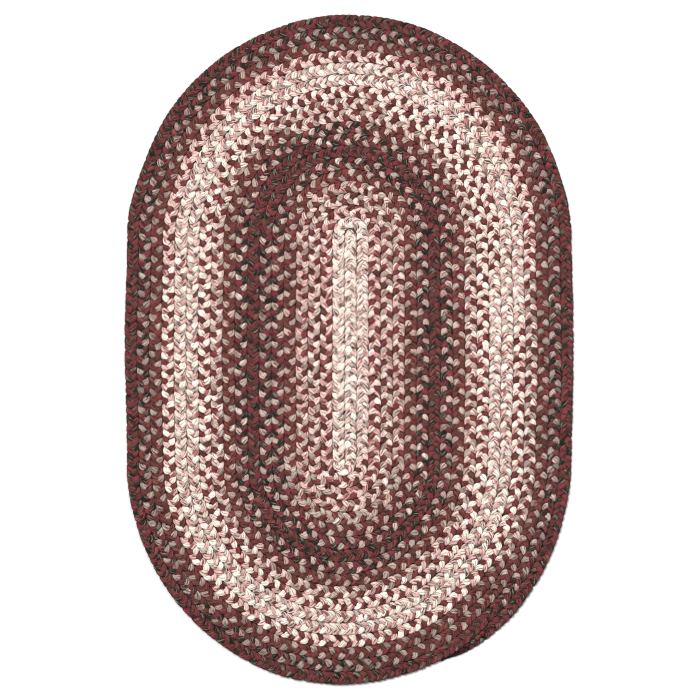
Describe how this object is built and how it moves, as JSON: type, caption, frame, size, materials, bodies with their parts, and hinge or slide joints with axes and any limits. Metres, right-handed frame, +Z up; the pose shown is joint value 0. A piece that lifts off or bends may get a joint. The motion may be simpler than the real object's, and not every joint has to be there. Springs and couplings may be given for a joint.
{
  "type": "braided rug",
  "caption": "Oval braided floor rug: one flat plait of thick yarn coiled outwards from a straight middle run and laced row to row, in cream, rose, taupe, maroon and green-black bands.",
  "frame": {"origin": "on the floor, under the middle of the rug's outline", "axes": "+Z up, out of the rug's upper side; +Y along the rug's long side, towards the end where the middle run starts; +X across it"},
  "size_m": [1.22, 1.8198, 0.012],
  "materials": {
    "mixed_yarn": "matte",
    "cream_yarn": "matte",
    "blush_yarn": "matte",
    "pink_yarn": "matte",
    "taupe_yarn": "matte",
    "maroon_yarn": "matte",
    "wine_yarn": "matte",
    "brown_yarn": "matte",
    "green_black_yarn": "matte",
    "mottled_yarn": "matte"
  },
  "bodies": {
    "root": {"braid_coil": "mixed_yarn"}
  },
  "joints": []
}
